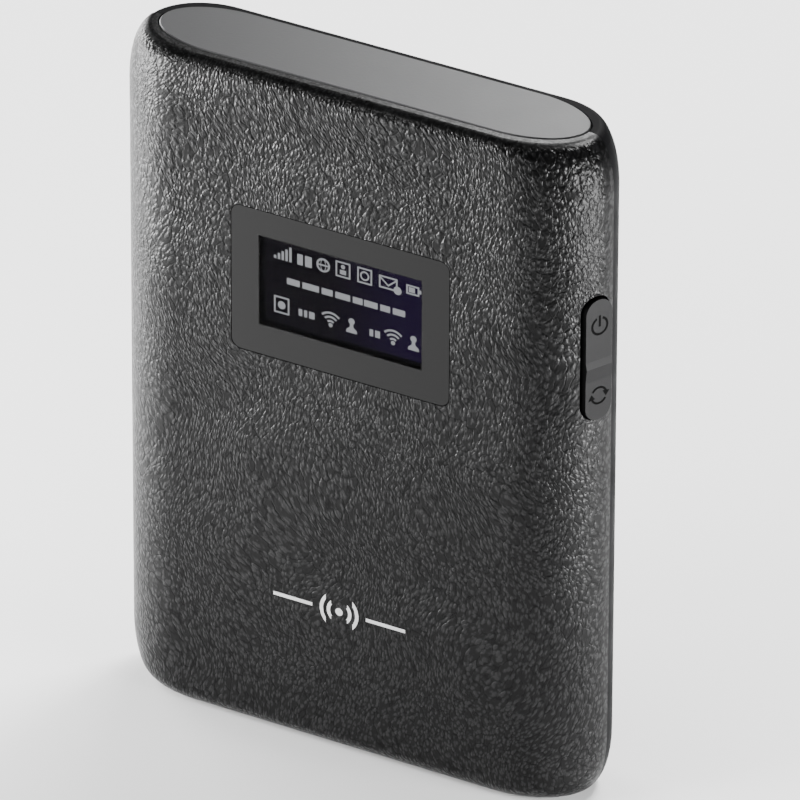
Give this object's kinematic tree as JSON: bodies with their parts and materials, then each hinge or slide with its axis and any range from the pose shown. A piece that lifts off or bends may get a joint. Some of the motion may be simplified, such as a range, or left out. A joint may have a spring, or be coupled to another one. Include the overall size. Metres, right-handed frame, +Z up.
{
  "type": "mobile hotspot",
  "caption": "Pocket mobile hotspot: slim upright case with grained front, small display window, side rocker key, charging port flap and a lift-off back over a battery.",
  "frame": {"origin": "centre of the flat bottom face: midway across the width, and midway between the front and back faces", "axes": "+X to the device's right seen from the front, +Y from the front face to the back, +Z up to the capped end"},
  "size_m": [0.0778, 0.0169, 0.1051],
  "materials": {
    "grained_plastic": "moulded leather grain, black, satin",
    "satin_plastic": "smooth satin, near black",
    "chassis_plastic": "fine moulded matt, black",
    "window_clear": "clear smoked, polished",
    "foam_black": "black foam tape",
    "panel_glass": "dark display glass",
    "amber_film": "amber film",
    "chip_black": "moulded black",
    "bright_metal": "bright, polished",
    "board_laminate": "dark green solder mask",
    "tin_plate": "tinned steel",
    "soft_rubber": "soft black, matt",
    "key_plastic": "satin dark grey with printed signs",
    "battery_can": "dark wrapped pack",
    "gold_plate": "gold plated",
    "label_paper": "plain printed label",
    "card_white": "white card",
    "copper_foil": "copper foil"
  },
  "bodies": {
    "case": {"front_shell": "grained_plastic", "top_cap": "satin_plastic", "rear_chassis": "chassis_plastic", "display_window": "window_clear", "window_gasket": "foam_black", "display_panel": "panel_glass", "display_polariser": "panel_glass", "display_holder": "chassis_plastic", "display_flex": "amber_film", "display_connector": "chip_black", "front_emblem": "bright_metal", "main_board": "board_laminate", "modem_shield": "tin_plate", "radio_shield": "tin_plate", "power_shield": "tin_plate", "modem_chip": "chip_black", "memory_chip": "chip_black", "wifi_chip": "chip_black", "power_amplifiers": "chip_black", "charger_chip": "chip_black", "micro_usb_shell": "tin_plate", "micro_usb_tongue": "chip_black", "power_switch": "tin_plate", "sync_switch": "tin_plate", "contact_housing": "chip_black", "battery_contacts": "gold_plate", "sim_socket": "tin_plate", "reset_switch": "tin_plate", "lower_antenna_carrier": "chassis_plastic", "lower_antenna": "copper_foil", "upper_antenna_carrier": "chassis_plastic", "upper_antenna": "copper_foil", "antenna_springs": "gold_plate", "chassis_screws": "bright_metal"},
    "back_cover": {"back_cover": "satin_plastic"},
    "battery": {"battery_cell": "battery_can", "battery_head": "chip_black", "battery_pads": "gold_plate", "battery_label": "label_paper"},
    "rocker_key": {"rocker_key": "key_plastic"},
    "power_plunger": {"power_switch_plunger": "chip_black"},
    "sync_plunger": {"sync_switch_plunger": "chip_black"},
    "port_cover": {"port_cover": "soft_rubber"},
    "sim_card": {"sim_card": "card_white"},
    "reset_button": {"reset_button": "key_plastic"}
  },
  "joints": [
    {"name": "cover_release", "type": "slide", "parent": "case", "child": "back_cover", "axis": [0, 1, 0], "range_m": [0, 0.024]},
    {"name": "battery_lift", "type": "slide", "parent": "case", "child": "battery", "axis": [0, 1, 0], "range_m": [0, 0.012]},
    {"name": "key_rock", "type": "hinge", "parent": "case", "child": "rocker_key", "pos_m": [0.03425, -0.002, 0.0719], "axis": [0.4147, 0.91, 0], "range_deg": [-1.6, 1.6], "stiffness_Nm_per_rad": 0.48},
    {"name": "power_press", "type": "slide", "parent": "case", "child": "power_plunger", "axis": [1, 0, 0], "range_m": [-0.00015, 0.00015]},
    {"name": "sync_press", "type": "slide", "parent": "case", "child": "sync_plunger", "axis": [1, 0, 0], "range_m": [-0.00015, 0.00015]},
    {"name": "flap_swing", "type": "hinge", "parent": "case", "child": "port_cover", "pos_m": [-0.03769, -0.00242, 0.0433], "axis": [0.4147, -0.91, 0], "range_deg": [0, 110]},
    {"name": "sim_slide", "type": "slide", "parent": "case", "child": "sim_card", "axis": [1, 0, 0], "range_m": [0, 0.009]},
    {"name": "reset_press", "type": "slide", "parent": "case", "child": "reset_button", "axis": [0, -1, 0], "range_m": [0, 0.0003], "stiffness_N_per_m": 300}
  ],
  "couplings": [
    {"joint": "battery_lift", "follows": "cover_release", "ratio": 0.5},
    {"joint": "power_press", "follows": "key_rock", "m_per_rad": 0.005},
    {"joint": "sync_press", "follows": "key_rock", "m_per_rad": -0.005}
  ]
}
